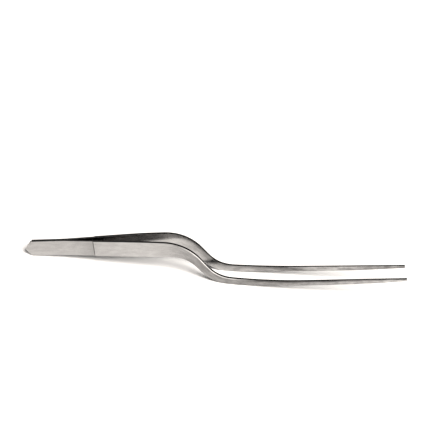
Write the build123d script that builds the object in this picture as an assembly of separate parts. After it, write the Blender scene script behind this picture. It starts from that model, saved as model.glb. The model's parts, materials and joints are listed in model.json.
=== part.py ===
from build123d import *
from math import asin, atan2, cos, degrees, hypot, sin
import os

# Long bayonet tweezers for planting: two flat steel blades, welded together at the butt,
# that spring apart. Each blade is a heel, a wide flat handle, a bayonet bend that steps the
# working leg down out of the line of sight, and a slim leg with a serrated, square tip.
#
# The blades are drawn lying level, in "blade" coordinates: u runs from the butt to the tips,
# v is up across the blade, and y is the squeeze direction, with the blades meeting at y = 0.
# The finished tweezers are then tilted to stand on a table, on the lower corner of the butt
# and on the two lower bends. All sizes are in millimetres and all angles in degrees.

# Where the tips end. The rounded butt is at about u = 3.4.
tip_end = 254.0

# Side view of a blade, clockwise from the butt: u, v and the corner's radius.
handle_top = 5.7
handle_bottom = -5.75
butt_top_corner = (8.0, handle_top, 1.0)
handle_crown = (81.0, 5.95, 300.0)
upper_bend_top = (111.0, 5.0, 30.0)
lower_bend_top = (130.0, -22.5, 21.0)
leg_top = (165.0, -26.4, 460.0)
tip_top = (tip_end, -27.2, 0.3)
tip_bottom = (tip_end, -29.1, 0.3)
leg_bottom = (200.0, -31.7, 950.0)
lower_bend_bottom = (127.3, -27.8, 22.6)
upper_bend_bottom = (110.0, handle_bottom, 19.0)
butt_bottom_corner = (7.0, -5.9, 1.5)
butt_end_bottom = (3.8, -0.9, 0.3)
butt_end_top = (4.2, 0.9, 0.3)

# Plan view of a blade's inner face: u, distance from the middle plane, and the bend's radius.
plan_start = -2.0
parting_bend = (29.0, 0.0, 120.0)
handle_bow = (87.0, 4.3, 1000.0)
leg_bow = (169.0, 7.3, 1000.0)
tip_half_gap = 6.4

# Thickness of the steel at the parting bend, the handle's bow, the leg's bow and the tip.
# The heel is ground thinner than the handle, so that it is the spring.
heel_thickness = 1.3
handle_thickness = 1.7
leg_thickness = 1.6
tip_thickness = 1.4
step_at = 49.8
step_gap = 0.1

# Serrations across the inner face of each tip.
groove_pitch = 0.8
groove_width = 0.5
groove_depth = 0.22
groove_count = 41
first_groove_from_tip = 1.0

# The weld bead that closes the butt. It wraps the end of the two heels, and is ground round.
# These are its side view's corners and radii, and the two last corners are inside the heels.
bead_top = (6.97, 5.07, 0.5)
bead_end_top = (3.75, 0.98, 0.5)
bead_end_bottom = (3.37, -0.98, 0.5)
bead_bottom = (6.1, -5.25, 0.6)
bead_root_bottom = (7.5, -4.3, 0.5)
bead_root_top = (8.3, 4.1, 0.5)
bead_rounding = 0.5

reach = 40.0


def filleted(corners):
    """Closed face with the given (u, v, radius) corners."""
    points = [(u, v) for u, v, radius in corners]
    radii = [radius for u, v, radius in corners]
    return make_face(FilletPolyline(*points, radius=radii, close=True))


def side_outline():
    """Side view of a whole blade."""
    corners = [
        butt_top_corner,
        handle_crown,
        upper_bend_top,
        lower_bend_top,
        leg_top,
        tip_top,
        tip_bottom,
        leg_bottom,
        lower_bend_bottom,
        upper_bend_bottom,
        butt_bottom_corner,
        butt_end_bottom,
        butt_end_top,
    ]
    return filleted(corners)


def side_slab(start, end):
    """The blade's side view between two stations, far thicker than a blade."""
    middle = (start + end) / 2
    window = Pos(middle, 0) * Rectangle(end - start, 4 * reach)
    return extrude(Plane.XZ * (side_outline() & window), reach, both=True)


def plan_line(at_parting, at_handle, at_leg, at_tip):
    """Line along the right blade in plan, at distances outward from its inner face."""
    points = [
        (plan_start, -at_parting),
        (parting_bend[0], -parting_bend[1] - at_parting),
        (handle_bow[0], -handle_bow[1] - at_handle),
        (leg_bow[0], -leg_bow[1] - at_leg),
        (tip_end, -tip_half_gap - at_tip),
    ]
    radii = [
        parting_bend[2] - at_parting,
        handle_bow[2] + at_handle,
        leg_bow[2] + at_leg,
    ]
    return FilletPolyline(*points, radius=radii)


def plan_strip(thicknesses):
    """Plan view of the right blade's steel, for its thickness at each bend and the tip."""
    inner = plan_line(0, 0, 0, 0)
    outer = plan_line(*thicknesses)
    butt_line = Line(inner @ 0, outer @ 0)
    tip_line = Line(inner @ 1, outer @ 1)
    return make_face([*inner.edges(), *outer.edges(), butt_line, tip_line])


def blade_piece(start, end, thicknesses):
    """The right blade between two stations."""
    strip = extrude(plan_strip(thicknesses), reach, both=True)
    return (strip & side_slab(start, end)).solid()


def serrations():
    """V grooves that cross the right blade's inner face near the tip."""
    slope = (leg_bow[1] - tip_half_gap) / (tip_end - leg_bow[0])
    grooves = []
    for index in range(groove_count):
        from_tip = first_groove_from_tip + index * groove_pitch
        face_y = -tip_half_gap - slope * from_tip
        profile = Polyline(
            (-groove_width / 2, groove_depth),
            (-groove_width / 2, 0),
            (0, -groove_depth),
            (groove_width / 2, 0),
            (groove_width / 2, groove_depth),
            close=True,
        )
        groove = Pos(tip_end - from_tip, face_y) * make_face(profile)
        grooves.append(extrude(groove, reach, both=True))
    return grooves


def right_heel():
    """Thin flat heel of the right blade, from the butt to the step."""
    return blade_piece(plan_start, step_at - step_gap / 2, [heel_thickness] * 4)


def right_arm():
    """Handle, bayonet bend, leg and serrated tip of the right blade."""
    thicknesses = [handle_thickness, handle_thickness, leg_thickness, tip_thickness]
    arm = blade_piece(step_at + step_gap / 2, tip_end, thicknesses)
    return (arm - serrations()).solid()


def butt_weld():
    """Rounded bead of weld metal that joins the two heels at the butt."""
    corners = [
        bead_top,
        bead_end_top,
        bead_end_bottom,
        bead_bottom,
        bead_root_bottom,
        bead_root_top,
    ]
    bead = extrude(Plane.XZ * filleted(corners), heel_thickness, both=True)
    sides = bead.faces().sort_by(Axis.Y)
    rims = sides[0].edges() + sides[-1].edges()
    bead = fillet(rims, bead_rounding)
    heels = extrude(Plane.XZ * side_outline(), reach, both=True)
    return (bead - heels).solid()


def bend_middle(before, corner, after):
    """Middle of the arc that rounds a corner of the side view."""
    to_before = atan2(before[1] - corner[1], before[0] - corner[0])
    to_after = atan2(after[1] - corner[1], after[0] - corner[0])
    half_angle = (to_after - to_before) / 2
    distance = corner[2] / sin(abs(half_angle))
    bisector = to_before + half_angle
    return (corner[0] + distance * cos(bisector), corner[1] + distance * sin(bisector))


def rest_tilt():
    """Tilt at which the butt's lower corner and the lower bend touch one level line."""
    butt = bend_middle(upper_bend_bottom, butt_bottom_corner, butt_end_bottom)
    bend = bend_middle(upper_bend_bottom, lower_bend_bottom, leg_bottom)
    run = bend[0] - butt[0]
    drop = bend[1] - butt[1]
    radius_change = butt_bottom_corner[2] - lower_bend_bottom[2]
    return -degrees(atan2(drop, run) + asin(radius_change / hypot(run, drop)))


def standing(pieces):
    """Tilt the level pieces, and set them on the table with the origin under their middle."""
    tilted = [Rot(0, -rest_tilt(), 0) * piece for piece in pieces]
    box = Compound(tilted).bounding_box()
    shift = Pos(-(box.min.X + box.max.X) / 2, -(box.min.Y + box.max.Y) / 2, -box.min.Z)
    return [shift * piece for piece in tilted], shift


def print_points(shift):
    """Places that the record states, in metres, after the tilt and the shift."""
    parting_rise = (step_at - parting_bend[0]) / (handle_bow[0] - parting_bend[0])
    flex_y = -(handle_bow[1] * parting_rise + handle_thickness / 2)
    places = {
        "right flex line": (step_at, flex_y, 0),
        "right heel face": (14.0, -heel_thickness, 0),
        "between the tips": (tip_end, 0, (tip_top[1] + tip_bottom[1]) / 2),
    }
    print("rest tilt", round(rest_tilt(), 4))
    for name, place in places.items():
        point = (shift * Rot(0, -rest_tilt(), 0) * Pos(*place)).position
        print(name, [round(value / 1000, 6) for value in point])


def main():
    os.makedirs("parts", exist_ok=True)
    heel = right_heel()
    arm = right_arm()
    level = {
        "right_heel": heel,
        "right_arm": arm,
        "left_heel": mirror(heel, Plane.XZ),
        "left_arm": mirror(arm, Plane.XZ),
        "butt_weld": butt_weld(),
    }
    pieces, shift = standing(list(level.values()))
    for name, piece in zip(level, pieces):
        export_step(piece, f"parts/{name}.step")
    print_points(shift)


main()
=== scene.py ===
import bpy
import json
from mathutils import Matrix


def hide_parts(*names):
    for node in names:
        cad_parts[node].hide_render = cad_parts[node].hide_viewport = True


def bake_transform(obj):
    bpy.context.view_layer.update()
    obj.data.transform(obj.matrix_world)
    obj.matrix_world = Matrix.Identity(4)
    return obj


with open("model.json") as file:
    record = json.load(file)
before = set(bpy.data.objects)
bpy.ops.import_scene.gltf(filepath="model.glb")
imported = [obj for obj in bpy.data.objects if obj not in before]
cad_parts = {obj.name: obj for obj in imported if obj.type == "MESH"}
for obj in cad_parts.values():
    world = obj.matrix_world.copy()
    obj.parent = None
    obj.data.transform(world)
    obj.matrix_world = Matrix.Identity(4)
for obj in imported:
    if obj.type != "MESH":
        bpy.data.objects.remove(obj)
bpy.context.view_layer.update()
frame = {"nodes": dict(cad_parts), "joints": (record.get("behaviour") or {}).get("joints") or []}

import json
import math

import bpy
import numpy as np
from mathutils import Matrix, Vector
from mathutils.bvhtree import BVHTree

# The look of the planting tweezers: one continuous steel blade on each side, and the bead of
# weld metal at the butt. The right blade's shape is measured on the CAD nodes, and the left
# blade is its mirror image.
#
# Shapes are worked out in "blade" coordinates: u along the handle from the butt to the tips,
# y in the squeeze direction, and v up across the blade. The flex joints' axis points along v.
# A "share" is a place across a blade's face, from 0 at its bottom edge to 1 at its top edge.
# Lengths are in metres, except where a name ends in _MM or _mm, and except "far", which is
# always a distance from the butt in millimetres. The rows of the tables are (far, value).

MM = 0.001

# Radii that round the long edges.
OUTER_TOP_RADIUS_MM = (
    (0, 0.08), (100, 0.08), (106, 0.10), (112, 0.20), (128, 0.20), (140, 0.16), (152, 0.10),
    (251, 0.08),
)
OUTER_BOTTOM_RADIUS_MM = ((0, 0.10), (97, 0.10), (117, 0.25), (251, 0.12))
INNER_TOP_RADIUS_MM = ((0, 0.08), (251, 0.08))
INNER_BOTTOM_RADIUS_MM = ((0, 0.08), (97, 0.10), (127, 0.14), (251, 0.08))

# Radius of the edges at the butt and the tip, and the stretches where the long edges' radii
# change to it.
END_RADIUS_MM = 0.07
BUTT_CHANGE_MM = (3.6, 5.6)
TIP_CHANGE_MM = (247.5, 249.8)

# How far the leg's outer face falls away towards its edges, which makes its section a D.
TOP_CROWN_MM = (
    (0, 0), (132, 0), (150, 0.24), (164, 0.30), (204, 0.30), (222, 0.22), (251, 0.22),
)
BOTTOM_CROWN_MM = ((0, 0), (115, 0), (147, 0.16), (202, 0.14), (251, 0.04))
TOP_CROWN_FROM = 0.60
BOTTOM_CROWN_FROM = 0.45

# Lightness of the steel on the outer and the inner faces, and on the rim between them. The bend
# and the leg were forged; the outer face is darker along them, and they are mottled. The inner
# face's light stretch near 96 mm is a painted reflection, and the rim's darkness along the bend
# is painted shade.
OUTER_TONE = (
    (0, 0.83), (34, 0.84), (41, 0.76), (46.2, 0.68), (46.6, 0.88), (56, 0.88), (70, 0.96),
    (84, 0.97), (96, 0.85), (102.5, 0.70), (109, 0.60), (122, 0.54), (136, 0.50), (142, 0.46),
    (155, 0.50), (165, 0.54), (181, 0.58), (195, 0.64), (208, 0.74), (218, 0.80), (251, 0.92),
)
INNER_TONE = (
    # Its rise near 96 mm is a painted reflection of the table.
    (0, 0.80), (60, 0.72), (84, 0.75), (96, 0.98), (104, 0.92), (110, 0.72), (140, 0.72),
    (152, 0.62), (162, 0.66), (182, 0.78), (195, 0.78), (216.5, 0.74), (217.5, 0.60),
    (251, 0.62),
)
# The rim is painted darker along the bend, as painted shade.
RIM_TONE_AND_PAINTED_SHADE = (
    (0, 0.8), (66, 0.7), (88, 0.35), (102, 0.12), (111, 0.05), (130, 0.05), (142, 0.15),
    (251, 0.2),
)

# How much lighter the outer face's top edge is along the bend, as a painted highlight, and
# the shares over which that begins.
PAINTED_EDGE_HIGHLIGHT = (
    (0, 0.0), (102, 0.0), (108, 0.9), (113, 2.2), (120, 2.8), (126, 3.2), (134, 2.6), (143, 1.2),
    (156, 0.0),
)
PAINTED_EDGE_HIGHLIGHT_FROM = (0.87, 0.94)

# How much darker the leg's outer face is towards its top edge, as painted shade, and the
# shares over which that begins.
PAINTED_TOP_SHADE = ((0, 0.0), (140, 0.0), (156, 0.70), (204, 0.70), (218, 0.50), (251, 0.55))
PAINTED_TOP_SHADE_FROM = (0.62, 0.88)

# How much the inner face darkens from its bottom edge to its top edge, along the bend, as a
# painted reflection. It is lighter than its table's tone at the bottom edge and darker at the top
# edge.
PAINTED_INNER_REFLECTION = ((0, 0.0), (104, 0.0), (114, 0.42), (160, 0.40), (176, 0.0))
PAINTED_INNER_REFLECTION_AT_BOTTOM = 0.65
PAINTED_INNER_REFLECTION_FALL = 1.6

# Strength of the mottling.
MOTTLING = ((0, 0.1), (90, 0.1), (112, 0.6), (140, 1.0), (251, 1.2))

# The step from the ground heel up to the handle, with a rounded crest and a grinding line at
# its foot: (distance past the step, share of the climb, depth of the grinding line).
STEP_PROFILE_MM = (
    (-0.70, 0.0, 0.0), (-0.55, 0.0, 0.10), (-0.30, 0.0, 0.15), (-0.16, 0.04, 0.12),
    (-0.08, 0.55, 0.0), (0.0, 0.84, 0.0), (0.1, 0.97, 0.0), (0.24, 1.0, 0.0),
)

# Where the painted shade at the grinding line begins and ends, as distances past the step.
STEP_SHADE_BEGINS_MM = (-0.70, -0.55)
STEP_SHADE_ENDS_MM = (-0.20, -0.08)

# The serrations across the inner face of each tip. The sharp stretch starts a little before
# the last groove.
GROOVE_PITCH_MM = 0.8
GROOVE_HALF_WIDTH_MM = 0.25
GROOVE_COUNT = 41
FIRST_GROOVE_FROM_TIP_MM = 1.0
SHARP_LENGTH_MM = 34.4
SHARP_FROM_MM = (217, 219)

# Cross-sections of the mesh: close together at the butt, at the step and in the grooves.
BUTT_START_MM = 0.06
BUTT_LENGTH_MM = 6
BUTT_PITCH_MM = 0.22
BODY_PITCH_MM = 0.6
BODY_AFTER_BUTT_MM = 0.4
BODY_CLEAR_OF_STEP_MM = 0.9
TIP_SECTIONS_MM = (0.55, 0.32, 0.2, 0.1, 0.006)

# The stretches where the cross-sections begin to lean with the bend and stop leaning, and the
# numbers of steps that place them: whole rounds, steps to reach an edge in each round, and
# smoothing passes of the centre line.
LEAN_BEGINS_MM = (92, 98)
LEAN_ENDS_MM = (160, 200)
SECTION_ROUNDS = 3
REACH_STEPS = 12
CENTRE_PASSES = 300
ROUND_PASSES = 100

# The grid across a face: its columns, and the narrow share that sets off the first and the
# last ones, so that the edges look crisp.
COLUMNS = 22
MARGIN = 0.012

# A rounded edge is an arc of rings, from the face to the rim. For each ring: how much rougher
# its finish is, and how much of its tone is the rim's at the top and at the bottom edge, which
# carries the rim's painted shade onto the arc.
ARC_STEPS = 4
ARC_EDGE = (0.0, 1.0, 1.0, 1.0, 0.0)
ARC_RIM_TOP = (0.6, 1.0, 1.0, 1.0, 1.0)
ARC_RIM_BOTTOM = (0.0, 0.0, 0.1, 0.6, 1.0)

# Edges that turn by more than this are shaded as sharp.
SHARP_TURN_DEGREES = 35

# Grain of the brushed steel, as noise scales along, across and through the blade, and how far
# it is moved through the blade so that the two blades don't look the same.
FINE_LINES = (90, 9000, 9000)
STREAKS = (30, 1300, 1300)
CLOUDS = (160, 420, 420)
GRAIN_SHIFT = 0.03

# The spans of grain and clouds over which the finish changes, and what it changes between.
GRAIN_SPAN = (0.30, 0.70)
DARK_STEEL = (0.335, 0.330, 0.325, 1)
LIGHT_STEEL = (0.50, 0.495, 0.490, 1)
STEEL_ROUGHNESS = (0.16, 0.30)
CLOUD_SPAN = (0.36, 0.64)
SPOTS = (-0.24, 0.24)

# How much darker the painted shade at the step's grinding line is, the most that the tone and
# its painted highlights may brighten the steel, how much rougher rounded edges are, and how much
# smoother the inner faces are.
STEP_SHADE_DARKNESS = 0.72
BRIGHTEST = 1.9
EDGE_ROUGHNESS = 0.14
INNER_SMOOTHNESS = 0.07

# Depth of the brushing and of the weld's grinding.
BRUSHING_DEPTH_MM = 0.02
GRINDING_DEPTH_MM = 0.05

# The ground weld metal: its noise scales, the span over which its colour changes, and what its
# colour and roughness change between.
WELD_GRINDING = (2500, 500, 7000)
WELD_CLOUDS = (500, 500, 500)
WELD_COLOUR_SPAN = (0.32, 0.68)
DARK_WELD = (0.34, 0.335, 0.33, 1)
LIGHT_WELD = (0.50, 0.495, 0.49, 1)
WELD_ROUGHNESS = (0.30, 0.46)

# The studio. Angles are in degrees.
TABLE_HALF_WIDTH = 4.0
TABLE_COLOUR = (0.9, 0.9, 0.9, 1)
WARM_WHITE = (1.0, 0.95, 0.905)
LIGHT_DISTANCE = 5.0
STUDIO_BRIGHTNESS = 0.085
CAMERA_AZIMUTH = -1.12
CAMERA_ELEVATION = 35.0
CAMERA_ROLL = 7.23
CAMERA_DISTANCE = 0.6763
CAMERA_TARGET = (-0.00420, 0.0, 0.04904)
CAMERA_SENSOR_MM = 36.0
CAMERA_LENS_MM = 88.1247

flex = {joint["child"]: joint for joint in frame["joints"]}
V_AXIS = np.array(flex["right_blade"]["axis"], float)
U_AXIS = np.array([V_AXIS[2], 0.0, -V_AXIS[0]])
TO_BLADE = np.array([U_AXIS, (0.0, 1.0, 0.0), V_AXIS])


def blade_points(node):
    """A CAD node's vertices in blade coordinates."""
    mesh = frame["nodes"][node].data
    points = np.array([vertex.co for vertex in mesh.vertices], float).reshape(-1, 3)
    return points @ TO_BLADE.T


def blade_tree(node):
    """A search tree of a CAD node's faces in blade coordinates."""
    mesh = frame["nodes"][node].data
    faces = [list(polygon.vertices) for polygon in mesh.polygons]
    return BVHTree.FromPolygons([Vector(p) for p in blade_points(node)], faces)


BUTT_U = blade_points("butt_weld")[:, 0].min()
HEEL_START_U = blade_points("right_heel")[:, 0].min()
STEP_U = float(np.array(flex["right_blade"]["pos_m"]) @ U_AXIS)
TIP_U = blade_points("right_arm")[:, 0].max()


def hit(tree, start, direction):
    """Where a ray meets the node."""
    return np.array(tree.ray_cast(Vector(start), Vector(direction))[0])


def unit(vectors):
    """Vectors at length 1."""
    return vectors / np.linalg.norm(vectors, axis=1)[:, None]


def smoothed(values, weight, passes):
    """Values with their facets evened out where weight is 1, and kept where it is 0."""
    even = values.copy()
    for _ in range(passes):
        padded = np.concatenate([even[:1], even, even[-1:]])
        even = even + weight * (0.25 * padded[:-2] - 0.5 * even + 0.25 * padded[2:])
    return even


def ramp(values, low, high):
    """0 below low, 1 above high, smooth between."""
    t = np.clip((values - low) / (high - low), 0, 1)
    return t * t * (3 - 2 * t)


def from_butt(u):
    """Distance of a station from the butt, in millimetres."""
    return (u - BUTT_U) / MM


def looked_up(table, far):
    """A value from a table."""
    return np.interp(far, [row[0] for row in table], [row[1] for row in table])


def looked_up_length(table, far):
    """A value from a table of millimetres, in metres."""
    return looked_up(table, far) * MM


class BladeShape:
    """The measured shape of the right blade: top and bottom edges, inner and outer faces."""

    SAMPLE = 0.1 * MM
    START = 0.05 * MM
    NEAR_END = 0.4 * MM
    END = 0.005 * MM
    FAR_AWAY = 0.06
    EDGE_PASSES = 300
    FACE_PASSES = 3000

    # The corners at the butt and the tip are kept as they are, and the rest is smoothed.
    BUTT_CORNERS_MM = (12, 16)
    TIP_CORNERS_MM = (248, 251)
    BUTT_FACE_MM = (6, 8)

    def __init__(self):
        self.heel = blade_tree("right_heel")
        self.arm = blade_tree("right_arm")
        fine_from = TIP_U - self.NEAR_END
        coarse = np.arange(HEEL_START_U + self.START, fine_from, self.SAMPLE)
        fine = np.arange(fine_from, TIP_U - self.END, self.SAMPLE / 5)
        self.u = np.concatenate([coarse, fine])
        self.clear = np.abs(self.u - STEP_U) > self.SAMPLE
        self.far = from_butt(self.u)
        self.middle_y = self.rough_middle()
        self.measure_edges()
        self.measure_faces()

    def tree(self, u):
        """The node that has this station."""
        return self.heel if u < STEP_U else self.arm

    def rough_middle(self):
        """Middle of the steel's thickness, at every station."""
        stations = np.arange(self.u[0], self.u[-1], 4 * MM)
        middles = [self.middle_at(station) for station in stations]
        return np.interp(self.u, stations, middles)

    def middle_at(self, u):
        """Middle of the steel's thickness at one station, along level rays at several heights."""
        tree = self.tree(u)
        for v in np.arange(-self.FAR_AWAY, self.FAR_AWAY, 0.5 * MM):
            outer = tree.ray_cast(Vector((u, -self.FAR_AWAY, v)), Vector((0, 1, 0)))[0]
            inner = tree.ray_cast(Vector((u, MM, v)), Vector((0, -1, 0)))[0]
            if outer and inner:
                return (outer[1] + inner[1]) / 2
        raise ValueError("no steel at this station")

    def measure_edges(self):
        """Top and bottom edges, v against u."""
        top = []
        bottom = []
        for u, y, clear in zip(self.u, self.middle_y, self.clear):
            if clear:
                top.append(hit(self.tree(u), (u, y, self.FAR_AWAY), (0, 0, -1))[2])
                bottom.append(hit(self.tree(u), (u, y, -self.FAR_AWAY), (0, 0, 1))[2])
        known = self.u[self.clear]
        plain = ramp(self.far, *self.BUTT_CORNERS_MM) * (1 - ramp(self.far, *self.TIP_CORNERS_MM))
        self.top = smoothed(np.interp(self.u, known, top), plain, self.EDGE_PASSES)
        self.bottom = smoothed(np.interp(self.u, known, bottom), plain, self.EDGE_PASSES)

    def measure_faces(self):
        """Inner and outer faces, y against u. The serrations stay sharp."""
        inner = []
        outer = []
        middle = (self.top + self.bottom) / 2
        for u, v, clear in zip(self.u, middle, self.clear):
            if clear:
                outer.append(hit(self.tree(u), (u, -self.FAR_AWAY, v), (0, 1, 0))[1])
                inner.append(hit(self.tree(u), (u, MM, v), (0, -1, 0))[1])
        known = self.u[self.clear]
        self.measure_inner(known, np.array(inner))
        self.measure_outer(known, np.array(outer))

    def measure_inner(self, known, inner):
        """The inner face, from its y at the known stations."""
        plain = ramp(self.far, *self.BUTT_FACE_MM)
        sharp = ramp(self.far, *SHARP_FROM_MM)
        measured = np.interp(self.u, known, inner)
        smooth = smoothed(measured, plain, self.FACE_PASSES)
        self.inner = smooth * (1 - sharp) + measured * sharp

    def measure_outer(self, known, outer):
        """The heel's and the arm's outer faces, from their y at the known stations."""
        heel = known < STEP_U
        self.heel_outer = np.interp(self.u, known[heel], outer[heel])
        arm_outer = np.interp(self.u, known[~heel], outer[~heel])
        self.arm_outer = smoothed(arm_outer, np.ones(len(self.u)), self.FACE_PASSES)

    def outer_at(self, u):
        """The outer face, with the small rounded step from the ground heel up to the handle."""
        heel = np.interp(u, self.u, self.heel_outer)
        arm = np.interp(u, self.u, self.arm_outer)
        profile = np.array(STEP_PROFILE_MM)
        climb = np.interp(u - STEP_U, profile[:, 0] * MM, profile[:, 1])
        groove = np.interp(u - STEP_U, profile[:, 0] * MM, profile[:, 2] * MM)
        return heel + (arm - heel) * climb + groove

    def inner_at(self, u):
        """The inner face."""
        return np.interp(u, self.u, self.inner)


def station_list():
    """Where the blade's cross-sections are, along its centre line's u."""
    start = HEEL_START_U + BUTT_START_MM * MM
    butt = np.arange(start, start + BUTT_LENGTH_MM * MM, BUTT_PITCH_MM * MM)
    body_start = butt[-1] + BODY_AFTER_BUTT_MM * MM
    body = np.arange(body_start, TIP_U - SHARP_LENGTH_MM * MM, BODY_PITCH_MM * MM)
    body = body[np.abs(body - STEP_U) > BODY_CLEAR_OF_STEP_MM * MM]
    step = [STEP_U + row[0] * MM for row in STEP_PROFILE_MM]
    grooves = []
    for index in range(GROOVE_COUNT):
        middle = TIP_U - (FIRST_GROOVE_FROM_TIP_MM + index * GROOVE_PITCH_MM) * MM
        for offset in (-GROOVE_HALF_WIDTH_MM, 0, GROOVE_HALF_WIDTH_MM):
            grooves.append(middle + offset * MM)
    tip = [TIP_U - offset * MM for offset in TIP_SECTIONS_MM]
    return np.array(sorted([*butt, *body, *step, *grooves, *tip]))


def edge_point(shape, edge, centre_u, centre_v, across):
    """Where lines across the blade, from its centre line, meet one of its edges."""
    reach = np.interp(centre_u, shape.u, edge) - centre_v
    for _ in range(REACH_STEPS):
        u = centre_u + reach * across[:, 0]
        miss = np.interp(u, shape.u, edge) - (centre_v + reach * across[:, 1])
        reach = reach + 0.5 * miss * across[:, 1]
    u = centre_u + reach * across[:, 0]
    return np.stack([u, np.interp(u, shape.u, edge)], 1)


def cross_sections(shape, stations):
    """Bottom and top point of each section, square to the blade's centre line, as (u, v)."""
    everywhere = np.ones(len(shape.u))
    centre_v = smoothed((shape.top + shape.bottom) / 2, everywhere, CENTRE_PASSES)
    leaning = ramp(shape.far, *LEAN_BEGINS_MM) * (1 - ramp(shape.far, *LEAN_ENDS_MM))
    for _ in range(SECTION_ROUNDS):
        slope = np.gradient(centre_v, shape.u) * leaning
        slope = smoothed(slope, everywhere, CENTRE_PASSES)
        slope = np.interp(stations, shape.u, slope)
        across = unit(np.stack([-slope, np.ones(len(slope))], 1))
        v = np.interp(stations, shape.u, centre_v)
        bottom = edge_point(shape, shape.bottom, stations, v, across)
        top = edge_point(shape, shape.top, stations, v, across)
        halfway = (bottom + top) / 2
        centre_v = np.interp(shape.u, halfway[:, 0], halfway[:, 1])
        centre_v = smoothed(centre_v, everywhere, ROUND_PASSES)
    return bottom, top


def shares_across():
    """The shares of a face's columns, which are close together next to its edges."""
    inside = np.linspace(0, 1, COLUMNS - 3)
    return np.array([0.0, MARGIN, *(MARGIN * 2 + (1 - MARGIN * 4) * inside), 1 - MARGIN, 1.0])


def crown(far, share):
    """How far the outer face falls away."""
    up = np.clip((share - TOP_CROWN_FROM) / (1 - TOP_CROWN_FROM), 0, 1)
    down = np.clip((BOTTOM_CROWN_FROM - share) / BOTTOM_CROWN_FROM, 0, 1)
    from_top = looked_up_length(TOP_CROWN_MM, far) * up**1.5
    from_bottom = looked_up_length(BOTTOM_CROWN_MM, far) * down**2
    return from_top + from_bottom


def outer_tone(far, share):
    """Lightness of the outer face, with painted shade near the leg's top edge and a painted
    highlight on the bend's top edge.
    """
    # Painted shade towards the leg's top edge.
    scale = 1 - looked_up(PAINTED_TOP_SHADE, far) * ramp(share, *PAINTED_TOP_SHADE_FROM)
    # Painted highlight along the bend's top edge.
    painted_highlight = 1 + looked_up(PAINTED_EDGE_HIGHLIGHT, far) * ramp(share, *PAINTED_EDGE_HIGHLIGHT_FROM)
    return looked_up(OUTER_TONE, far) * scale * painted_highlight


def inner_tone(far, share):
    """Lightness of the inner face, with a painted reflection that is lighter at the bottom edge
    and darker at the top edge along the bend.
    """
    # Painted reflection across the inner face, along the bend.
    change = PAINTED_INNER_REFLECTION_AT_BOTTOM - PAINTED_INNER_REFLECTION_FALL * share
    return looked_up(INNER_TONE, far) * (1 + looked_up(PAINTED_INNER_REFLECTION, far) * change)


def step_shade_at(u):
    """How strongly the painted shade at the grinding line shows."""
    past_step = (u - STEP_U) / MM
    return ramp(past_step, *STEP_SHADE_BEGINS_MM) * (1 - ramp(past_step, *STEP_SHADE_ENDS_MM))


def edge_radius(far, share, top_table, bottom_table):
    """Radius that rounds the edge at each point of the blade's outline."""
    top_radius = looked_up_length(top_table, far)
    bottom_radius = looked_up_length(bottom_table, far)
    radius = np.where(share > 0.5, top_radius, bottom_radius)
    near_end = ramp(far, *TIP_CHANGE_MM) + 1 - ramp(far, *BUTT_CHANGE_MM)
    radius = radius + (END_RADIUS_MM * MM - radius) * near_end
    radius[(share > 0) & (share < 1)] = END_RADIUS_MM * MM
    return radius


def outward_directions(line):
    """Directions out of a closed line, at each of its points."""
    ahead = unit(np.roll(line, -1, axis=0) - line)
    behind = unit(line - np.roll(line, 1, axis=0))
    along = unit(ahead + behind)
    return np.stack([along[:, 1], -along[:, 0]], 1)


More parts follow.
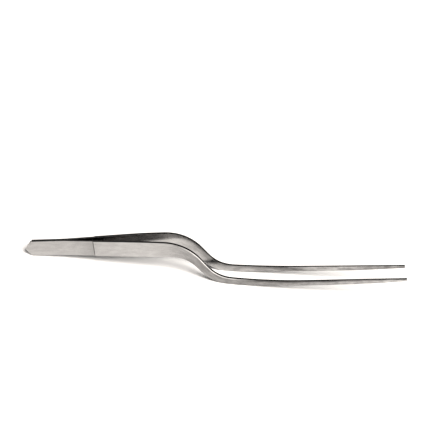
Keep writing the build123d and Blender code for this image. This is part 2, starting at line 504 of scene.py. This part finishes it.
class BladeMesh:
    """Points, faces and point values of one blade. Both blades use it; the left is mirrored."""

    def __init__(self, shape):
        self.shape = shape
        self.stations = station_list()
        self.bottom, self.top = cross_sections(shape, self.stations)
        self.widths = np.linalg.norm(self.top - self.bottom, axis=1)
        centre = (self.bottom + self.top) / 2
        steps = np.linalg.norm(np.diff(centre, axis=0), axis=1)
        self.runs = np.concatenate([[0], np.cumsum(steps)])
        self.shares = shares_across()
        self.points = []
        self.brush = []
        self.edge = []
        self.tone = []
        self.polish = []
        self.faces = []
        self.make_outline()
        self.make_surface()
        self.gather()

    def make_outline(self):
        """The side view's outline as a closed line: its section numbers, shares and points."""
        last = len(self.stations) - 1
        inside = self.shares[1:-1]
        rows = [(i, 0.0) for i in range(last + 1)]
        rows += [(last, share) for share in inside]
        rows += [(i, 1.0) for i in range(last, -1, -1)]
        rows += [(0, share) for share in inside[::-1]]
        self.section = np.array([row[0] for row in rows])
        self.share = np.array([row[1] for row in rows])
        low = self.bottom[self.section] * (1 - self.share)[:, None]
        high = self.top[self.section] * self.share[:, None]
        self.line = low + high
        self.far = from_butt(self.line[:, 0])
        self.outward = outward_directions(self.line)

    def make_surface(self):
        """The arcs of the outer and the inner edges, the rim between them, and both faces."""
        outer = edge_radius(self.far, self.share, OUTER_TOP_RADIUS_MM, OUTER_BOTTOM_RADIUS_MM)
        inner = edge_radius(self.far, self.share, INNER_TOP_RADIUS_MM, INNER_BOTTOM_RADIUS_MM)
        rings = [self.add_ring(step, outer, True) for step in range(ARC_STEPS + 1)]
        rings += [self.add_ring(step, inner, False) for step in range(ARC_STEPS, -1, -1)]
        self.join(rings)
        self.fill(rings[0], is_outer=True)
        self.fill(rings[-1], is_outer=False)

    def add(self, uv, y, run, across, edge, tone, is_outer):
        """Adds points with their values, and returns the first one's number."""
        first = sum(len(block) for block in self.points)
        self.points.append(np.stack([uv[:, 0], y, uv[:, 1]], 1))
        self.brush.append(np.stack([run, across, y], 1))
        self.edge.append(np.full(len(y), edge))
        self.tone.append(tone)
        self.polish.append(np.full(len(y), 0.0 if is_outer else 1.0))
        return first

    def face_y(self, u, far, share, is_outer):
        """The outer or the inner face."""
        if is_outer:
            return self.shape.outer_at(u) + crown(far, share)
        return self.shape.inner_at(u)

    def face_tone(self, far, share, is_outer):
        """Lightness of the outer or the inner face."""
        return outer_tone(far, share) if is_outer else inner_tone(far, share)

    def add_ring(self, step, radius, is_outer):
        """One ring of an edge's arc. Step 0 is next to the face, and the last is on the rim."""
        turn = math.pi / 2 * step / ARC_STEPS
        inset = radius * (1 - math.sin(turn))
        drop = radius * (1 - math.cos(turn))
        uv = self.line - self.outward * inset[:, None]
        y = self.face_y(uv[:, 0], self.far, self.share, is_outer)
        y = y + drop if is_outer else y - drop
        # The rim's share brings its painted shade onto this ring.
        rim = np.where(self.share > 0.5, ARC_RIM_TOP[step], ARC_RIM_BOTTOM[step])
        tone = self.face_tone(self.far, self.share, is_outer) * (1 - rim)
        tone = tone + looked_up(RIM_TONE_AND_PAINTED_SHADE, self.far) * rim
        run = self.runs[self.section]
        across = (self.share - 0.5) * self.widths[self.section]
        return self.add(uv, y, run, across, ARC_EDGE[step], tone, is_outer)

    def join(self, rings):
        """Faces between each ring and the next."""
        count = len(self.line)
        for low, high in zip(rings[:-1], rings[1:]):
            for k in range(count):
                follow = (k + 1) % count
                self.faces.append((low + k, high + k, high + follow, low + follow))

    def fill(self, ring, is_outer):
        """Fills the face inside a ring with a grid whose rows are the cross-sections."""
        number = self.ring_numbers(ring)
        last = len(self.stations) - 1
        rows = np.arange(1, last)
        placed = np.concatenate(self.points)
        low = placed[number[rows, 0]][:, [0, 2]]
        high = placed[number[rows, -1]][:, [0, 2]]
        for j in range(1, len(self.shares) - 1):
            share = self.shares[j]
            uv = low * (1 - share) + high * share
            far = from_butt(uv[:, 0])
            y = self.face_y(uv[:, 0], far, share, is_outer)
            tone = self.face_tone(far, share, is_outer)
            across = (share - 0.5) * self.widths[rows]
            first = self.add(uv, y, self.runs[rows], across, 0.0, tone, is_outer)
            number[rows, j] = first + np.arange(len(rows))
        for i in range(last):
            for j in range(len(self.shares) - 1):
                face = (number[i, j], number[i, j + 1], number[i + 1, j + 1], number[i + 1, j])
                self.faces.append(face if is_outer else face[::-1])

    def ring_numbers(self, ring):
        """A face's grid of point numbers, which has only its ring's points so far."""
        number = np.full((len(self.stations), len(self.shares)), -1)
        for k, (i, share) in enumerate(zip(self.section, self.share)):
            number[i, int(np.argmin(np.abs(self.shares - share)))] = ring + k
        return number

    def gather(self):
        """Puts all points in one list, with the values that the steel's material reads, painted
        highlights and shade among them.
        """
        self.points = np.concatenate(self.points)
        self.brush = np.concatenate(self.brush)
        u = self.points[:, 0]
        polish = np.concatenate(self.polish)
        self.values = {
            "edge": np.concatenate(self.edge),
            # The tone holds painted highlights and shade as well as the steel's own lightness.
            "tone": np.concatenate(self.tone),
            "step_shade": step_shade_at(u) * (1 - polish),
            "polish": polish,
            "mottled": looked_up(MOTTLING, from_butt(u)),
        }


def blade_object(name, made, side):
    """One blade as a Blender object. side is 1 for the right blade, and -1 for the left."""
    points = made.points * np.array([1, side, 1])
    points = points @ TO_BLADE
    faces = [tuple(int(k) for k in face) for face in made.faces]
    if side > 0:
        faces = [face[::-1] for face in faces]
    mesh = bpy.data.meshes.new(name)
    mesh.from_pydata([tuple(p) for p in points], [], faces)
    brush = mesh.attributes.new("brush", "FLOAT_VECTOR", "POINT")
    own_brush = made.brush + np.array([0.0, 0.0, GRAIN_SHIFT * side])
    brush.data.foreach_set("vector", own_brush.astype(np.float32).ravel())
    for key, values in made.values.items():
        attribute = mesh.attributes.new(key, "FLOAT", "POINT")
        attribute.data.foreach_set("value", values.astype(np.float32))
    mesh.polygons.foreach_set("use_smooth", [True] * len(mesh.polygons))
    mesh.set_sharp_from_angle(angle=math.radians(SHARP_TURN_DEGREES))
    mesh.update()
    obj = bpy.data.objects.new(name, mesh)
    bpy.context.scene.collection.objects.link(obj)
    return obj


def new_material(name):
    """A material with only a Principled shader, its node tree and the shader."""
    material = bpy.data.materials.new(name)
    material.use_nodes = True
    tree = material.node_tree
    tree.nodes.clear()
    shader = tree.nodes.new("ShaderNodeBsdfPrincipled")
    output = tree.nodes.new("ShaderNodeOutputMaterial")
    tree.links.new(shader.outputs["BSDF"], output.inputs["Surface"])
    return material, tree, shader


def stretched_noise(tree, coordinates, scale, detail, roughness=0.55):
    """Noise whose grains are drawn out by the scale's three values."""
    mapping = tree.nodes.new("ShaderNodeMapping")
    mapping.inputs["Scale"].default_value = scale
    tree.links.new(coordinates, mapping.inputs["Vector"])
    noise = tree.nodes.new("ShaderNodeTexNoise")
    noise.inputs["Scale"].default_value = 1.0
    noise.inputs["Detail"].default_value = detail
    noise.inputs["Roughness"].default_value = roughness
    tree.links.new(mapping.outputs["Vector"], noise.inputs["Vector"])
    return noise.outputs["Fac"]


def mapped(tree, value, span, to_span):
    """A value's span carried over to another span, and held there."""
    change = tree.nodes.new("ShaderNodeMapRange")
    change.inputs["From Min"].default_value = span[0]
    change.inputs["From Max"].default_value = span[1]
    change.inputs["To Min"].default_value = to_span[0]
    change.inputs["To Max"].default_value = to_span[1]
    tree.links.new(value, change.inputs["Value"])
    return change.outputs["Result"]


def maths(tree, operation, first, second):
    """A sum, product and so on of two values, each an output or a number."""
    made = tree.nodes.new("ShaderNodeMath")
    made.operation = operation
    for socket, value in zip(made.inputs, (first, second)):
        if isinstance(value, (int, float)):
            socket.default_value = value
        else:
            tree.links.new(value, socket)
    return made.outputs[0]


def mixed(tree, first, first_weight, second, second_weight):
    """The weighted sum of two values."""
    first_part = maths(tree, "MULTIPLY", first, first_weight)
    second_part = maths(tree, "MULTIPLY", second, second_weight)
    return maths(tree, "ADD", first_part, second_part)


def own_value(tree, name, output="Fac"):
    """A value that the mesh holds at each point."""
    attribute = tree.nodes.new("ShaderNodeAttribute")
    attribute.attribute_name = name
    return attribute.outputs[output]


def dark_to_light(tree, value, span, dark, light):
    """A colour that changes over a value's span."""
    made = tree.nodes.new("ShaderNodeValToRGB")
    made.color_ramp.elements[0].position = span[0]
    made.color_ramp.elements[0].color = dark
    made.color_ramp.elements[1].position = span[1]
    made.color_ramp.elements[1].color = light
    tree.links.new(value, made.inputs["Fac"])
    return made.outputs["Color"]


def brightened(tree, colour, factor):
    """A colour times a value."""
    made = tree.nodes.new("ShaderNodeVectorMath")
    made.operation = "SCALE"
    tree.links.new(colour, made.inputs[0])
    tree.links.new(factor, made.inputs["Scale"])
    return made.outputs["Vector"]


def set_metal(tree, shader, colour, roughness):
    """Makes a shader bare metal."""
    tree.links.new(colour, shader.inputs["Base Color"])
    tree.links.new(roughness, shader.inputs["Roughness"])
    shader.inputs["Metallic"].default_value = 1.0


def set_relief(tree, shader, height, strength, depth_mm):
    """Gives a shader fine relief."""
    bump = tree.nodes.new("ShaderNodeBump")
    bump.inputs["Strength"].default_value = strength
    bump.inputs["Distance"].default_value = depth_mm * MM
    tree.links.new(height, bump.inputs["Height"])
    tree.links.new(bump.outputs["Normal"], shader.inputs["Normal"])


def tone_with_painted_light(tree, clouds):
    """Factor on the steel's colour: its tone, with its painted highlights and shade, the mottling
    and the painted shade at the grinding line, held below a limit.
    """
    spots = mapped(tree, clouds, CLOUD_SPAN, SPOTS)
    spots = maths(tree, "MULTIPLY", spots, own_value(tree, "mottled"))
    spots = maths(tree, "ADD", 1.0, spots)
    # Painted shade at the step's grinding line.
    step_shade = maths(tree, "MULTIPLY", own_value(tree, "step_shade"), STEP_SHADE_DARKNESS)
    step_shade = maths(tree, "SUBTRACT", 1.0, step_shade)
    shade = maths(tree, "MULTIPLY", own_value(tree, "tone"), spots)
    shade = maths(tree, "MULTIPLY", shade, step_shade)
    return maths(tree, "MINIMUM", shade, BRIGHTEST)


def finish_roughness(tree, grain):
    """Roughness of the steel: it follows the grain, rises on edges and falls on inner faces."""
    rough = mapped(tree, grain, GRAIN_SPAN, STEEL_ROUGHNESS)
    edges = maths(tree, "MULTIPLY", own_value(tree, "edge"), EDGE_ROUGHNESS)
    polish = maths(tree, "MULTIPLY", own_value(tree, "polish"), INNER_SMOOTHNESS)
    return maths(tree, "SUBTRACT", maths(tree, "ADD", rough, edges), polish)


def blade_steel():
    """Brushed stainless steel: lines along the blade, over streaks and faint clouds, with the
    painted highlights and shade that the mesh holds.
    """
    material, tree, shader = new_material("brushed_blade_steel")
    place = own_value(tree, "brush", "Vector")
    fine = stretched_noise(tree, place, FINE_LINES, detail=3)
    streaks = stretched_noise(tree, place, STREAKS, detail=4)
    clouds = stretched_noise(tree, place, CLOUDS, detail=4, roughness=0.65)
    brush = mixed(tree, fine, 0.45, streaks, 0.55)
    grain = mixed(tree, brush, 0.6, clouds, 0.4)
    colour = dark_to_light(tree, grain, GRAIN_SPAN, DARK_STEEL, LIGHT_STEEL)
    colour = brightened(tree, colour, tone_with_painted_light(tree, clouds))
    set_metal(tree, shader, colour, finish_roughness(tree, grain))
    set_relief(tree, shader, brush, 0.25, BRUSHING_DEPTH_MM)
    return material


def weld_steel():
    """Ground weld metal: fine cross grinding over a faint cloudy bead."""
    material, tree, shader = new_material("ground_weld_steel")
    place = tree.nodes.new("ShaderNodeTexCoord").outputs["Object"]
    grinding = stretched_noise(tree, place, WELD_GRINDING, detail=3)
    clouds = stretched_noise(tree, place, WELD_CLOUDS, detail=3)
    grain = mixed(tree, grinding, 0.5, clouds, 0.5)
    colour = dark_to_light(tree, grain, WELD_COLOUR_SPAN, DARK_WELD, LIGHT_WELD)
    set_metal(tree, shader, colour, mapped(tree, grain, GRAIN_SPAN, WELD_ROUGHNESS))
    set_relief(tree, shader, grinding, 0.4, GRINDING_DEPTH_MM)
    return material


def make_blades():
    """Both blades, which stand for their CAD heels and arms and run unbroken across the step."""
    made = BladeMesh(BladeShape())
    steel = blade_steel()
    for name, side in (("right", 1), ("left", -1)):
        blade = blade_object(name + "_blade_steel", made, side)
        blade.data.materials.append(steel)
        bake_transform(blade)
        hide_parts(name + "_heel", name + "_arm")


def make_weld():
    """The CAD weld with its own material."""
    weld = frame["nodes"]["butt_weld"]
    weld.data.materials.clear()
    weld.data.materials.append(weld_steel())


def make_floor():
    """Plain pale table, part of the studio."""
    half = TABLE_HALF_WIDTH
    mesh = bpy.data.meshes.new("table_top")
    corners = [(-half, -half, 0), (half, -half, 0), (half, half, 0), (-half, half, 0)]
    mesh.from_pydata(corners, [], [(0, 1, 2, 3)])
    table = bpy.data.objects.new("table_top", mesh)
    bpy.context.scene.collection.objects.link(table)
    material, tree, shader = new_material("pale_table")
    shader.inputs["Base Color"].default_value = TABLE_COLOUR
    shader.inputs["Roughness"].default_value = 0.9
    shader.inputs["Specular IOR Level"].default_value = 0.1
    mesh.materials.append(material)


def direction_to(azimuth, elevation):
    """Direction from the object, for angles in degrees. Azimuth 0 is straight in front."""
    a = math.radians(azimuth)
    e = math.radians(elevation)
    return Vector((math.sin(a) * math.cos(e), -math.cos(a) * math.cos(e), math.sin(e)))


def softbox(name, azimuth, elevation, width, height, watts):
    """Soft warm area light aimed at the object."""
    back = direction_to(azimuth, elevation)
    data = bpy.data.lights.new(name, "AREA")
    data.shape = "RECTANGLE"
    data.size = width
    data.size_y = height
    data.energy = watts
    data.color = WARM_WHITE
    light = bpy.data.objects.new(name, data)
    light.location = back * LIGHT_DISTANCE
    light.rotation_mode = "QUATERNION"
    light.rotation_quaternion = (-back).to_track_quat("-Z", "Y")
    bpy.context.scene.collection.objects.link(light)


def make_lights():
    """A key light, a weaker one at the side, and a dim studio around them."""
    softbox("key_softbox", azimuth=31, elevation=51, width=2.6, height=2.3, watts=502)
    softbox("side_card", azimuth=68, elevation=22, width=2.8, height=1.8, watts=110)
    world = bpy.data.worlds.new("dim_studio")
    world.use_nodes = True
    background = world.node_tree.nodes["Background"]
    background.inputs["Color"].default_value = (1, 1, 1, 1)
    background.inputs["Strength"].default_value = STUDIO_BRIGHTNESS
    bpy.context.scene.world = world
    bpy.context.scene.view_settings.view_transform = "Standard"


def make_camera():
    """Camera in front and above, rolled so that the object slopes down a little to the right."""
    azimuth = math.radians(CAMERA_AZIMUTH)
    roll = math.radians(CAMERA_ROLL)
    back = direction_to(CAMERA_AZIMUTH, CAMERA_ELEVATION)
    right = Vector((math.cos(azimuth), math.sin(azimuth), 0))
    up = back.cross(right)
    camera_right = math.cos(roll) * right + math.sin(roll) * up
    camera_up = -math.sin(roll) * right + math.cos(roll) * up
    data = bpy.data.cameras.new("camera")
    data.sensor_width = CAMERA_SENSOR_MM
    data.lens = CAMERA_LENS_MM
    data.clip_start = 0.01
    data.clip_end = 50.0
    camera = bpy.data.objects.new("camera", data)
    columns = Matrix((camera_right, camera_up, back)).transposed().to_4x4()
    place = Vector(CAMERA_TARGET) + back * CAMERA_DISTANCE
    camera.matrix_world = Matrix.Translation(place) @ columns
    bpy.context.scene.collection.objects.link(camera)
    bpy.context.scene.camera = camera


make_camera()
make_blades()
make_weld()
make_floor()
make_lights()
